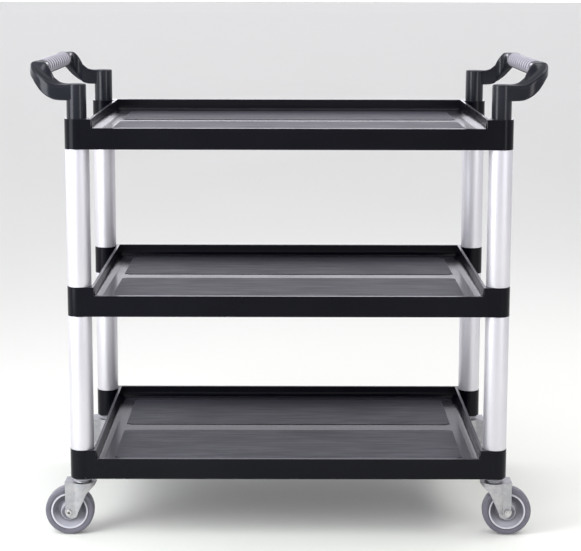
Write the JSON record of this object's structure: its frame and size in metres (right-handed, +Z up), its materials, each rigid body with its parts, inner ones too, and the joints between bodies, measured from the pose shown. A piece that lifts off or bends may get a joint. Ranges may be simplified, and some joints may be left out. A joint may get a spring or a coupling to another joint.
{
  "type": "food service trolley",
  "caption": "Wheeled service trolley with stacked moulded trays on tubular posts, bridge handles at both ends and swivel casters.",
  "frame": {"origin": "on the floor, under the middle of the trolley", "axes": "+X along the trolley's length towards its right handle, +Y towards its back wall, +Z up; the low front lips face -Y"},
  "size_m": [1.0356, 0.505, 0.9703],
  "materials": {
    "shelf_plastic": "fine-grained black polypropylene",
    "handle_plastic": "satin black moulding",
    "grip_rubber": "soft light grey ribbed grip",
    "post_aluminium": "satin anodised tube",
    "zinc_steel": "zinc-plated pressed steel",
    "fastener_steel": "zinc-plated steel",
    "seal_rubber": "black dust seal",
    "tread_rubber": "grey thermoplastic rubber",
    "hub_plastic": "grey moulded polypropylene",
    "bush_nylon": "nylon bush"
  },
  "bodies": {
    "root": {"bottom_shelf": "shelf_plastic", "middle_shelf": "shelf_plastic", "top_shelf": "shelf_plastic", "stem_insert_nuts": "fastener_steel", "left_handle": "handle_plastic", "right_handle": "handle_plastic", "left_grip": "grip_rubber", "right_grip": "grip_rubber", "lower_post_front_left": "post_aluminium", "lower_post_front_right": "post_aluminium", "lower_post_back_left": "post_aluminium", "lower_post_back_right": "post_aluminium", "upper_post_front_left": "post_aluminium", "upper_post_front_right": "post_aluminium", "upper_post_back_left": "post_aluminium", "upper_post_back_right": "post_aluminium", "caster_stem_front_left": "zinc_steel", "swivel_seal_front_left": "seal_rubber", "swivel_balls_front_left": "fastener_steel", "caster_stem_front_right": "zinc_steel", "swivel_seal_front_right": "seal_rubber", "swivel_balls_front_right": "fastener_steel", "caster_stem_back_left": "zinc_steel", "swivel_seal_back_left": "seal_rubber", "swivel_balls_back_left": "fastener_steel", "caster_stem_back_right": "zinc_steel", "swivel_seal_back_right": "seal_rubber", "swivel_balls_back_right": "fastener_steel"},
    "caster_front_left": {"caster_fork_front_left": "zinc_steel", "axle_bolt_front_left": "fastener_steel", "axle_nut_front_left": "fastener_steel", "axle_sleeve_front_left": "fastener_steel"},
    "wheel_front_left": {"wheel_tread_front_left": "tread_rubber", "wheel_hub_front_left": "hub_plastic", "wheel_bush_front_left": "bush_nylon"},
    "caster_front_right": {"caster_fork_front_right": "zinc_steel", "axle_bolt_front_right": "fastener_steel", "axle_nut_front_right": "fastener_steel", "axle_sleeve_front_right": "fastener_steel"},
    "wheel_front_right": {"wheel_tread_front_right": "tread_rubber", "wheel_hub_front_right": "hub_plastic", "wheel_bush_front_right": "bush_nylon"},
    "caster_back_left": {"caster_fork_back_left": "zinc_steel", "axle_bolt_back_left": "fastener_steel", "axle_nut_back_left": "fastener_steel", "axle_sleeve_back_left": "fastener_steel"},
    "wheel_back_left": {"wheel_tread_back_left": "tread_rubber", "wheel_hub_back_left": "hub_plastic", "wheel_bush_back_left": "bush_nylon"},
    "caster_back_right": {"caster_fork_back_right": "zinc_steel", "axle_bolt_back_right": "fastener_steel", "axle_nut_back_right": "fastener_steel", "axle_sleeve_back_right": "fastener_steel"},
    "wheel_back_right": {"wheel_tread_back_right": "tread_rubber", "wheel_hub_back_right": "hub_plastic", "wheel_bush_back_right": "bush_nylon"}
  },
  "joints": [
    {"name": "swivel_front_left", "type": "hinge", "parent": "root", "child": "caster_front_left", "pos_m": [-0.422, -0.224, 0.112], "axis": [0, 0, 1], "continuous": true},
    {"name": "wheel_spin_front_left", "type": "hinge", "parent": "caster_front_left", "child": "wheel_front_left", "pos_m": [-0.449, -0.224, 0.05], "axis": [0, 1, 0], "continuous": true},
    {"name": "swivel_front_right", "type": "hinge", "parent": "root", "child": "caster_front_right", "pos_m": [0.422, -0.224, 0.112], "axis": [0, 0, 1], "continuous": true},
    {"name": "wheel_spin_front_right", "type": "hinge", "parent": "caster_front_right", "child": "wheel_front_right", "pos_m": [0.449, -0.224, 0.05], "axis": [0, 1, 0], "continuous": true},
    {"name": "swivel_back_left", "type": "hinge", "parent": "root", "child": "caster_back_left", "pos_m": [-0.422, 0.224, 0.112], "axis": [0, 0, 1], "continuous": true},
    {"name": "wheel_spin_back_left", "type": "hinge", "parent": "caster_back_left", "child": "wheel_back_left", "pos_m": [-0.449, 0.224, 0.05], "axis": [0, 1, 0], "continuous": true},
    {"name": "swivel_back_right", "type": "hinge", "parent": "root", "child": "caster_back_right", "pos_m": [0.422, 0.224, 0.112], "axis": [0, 0, 1], "continuous": true},
    {"name": "wheel_spin_back_right", "type": "hinge", "parent": "caster_back_right", "child": "wheel_back_right", "pos_m": [0.449, 0.224, 0.05], "axis": [0, 1, 0], "continuous": true}
  ]
}
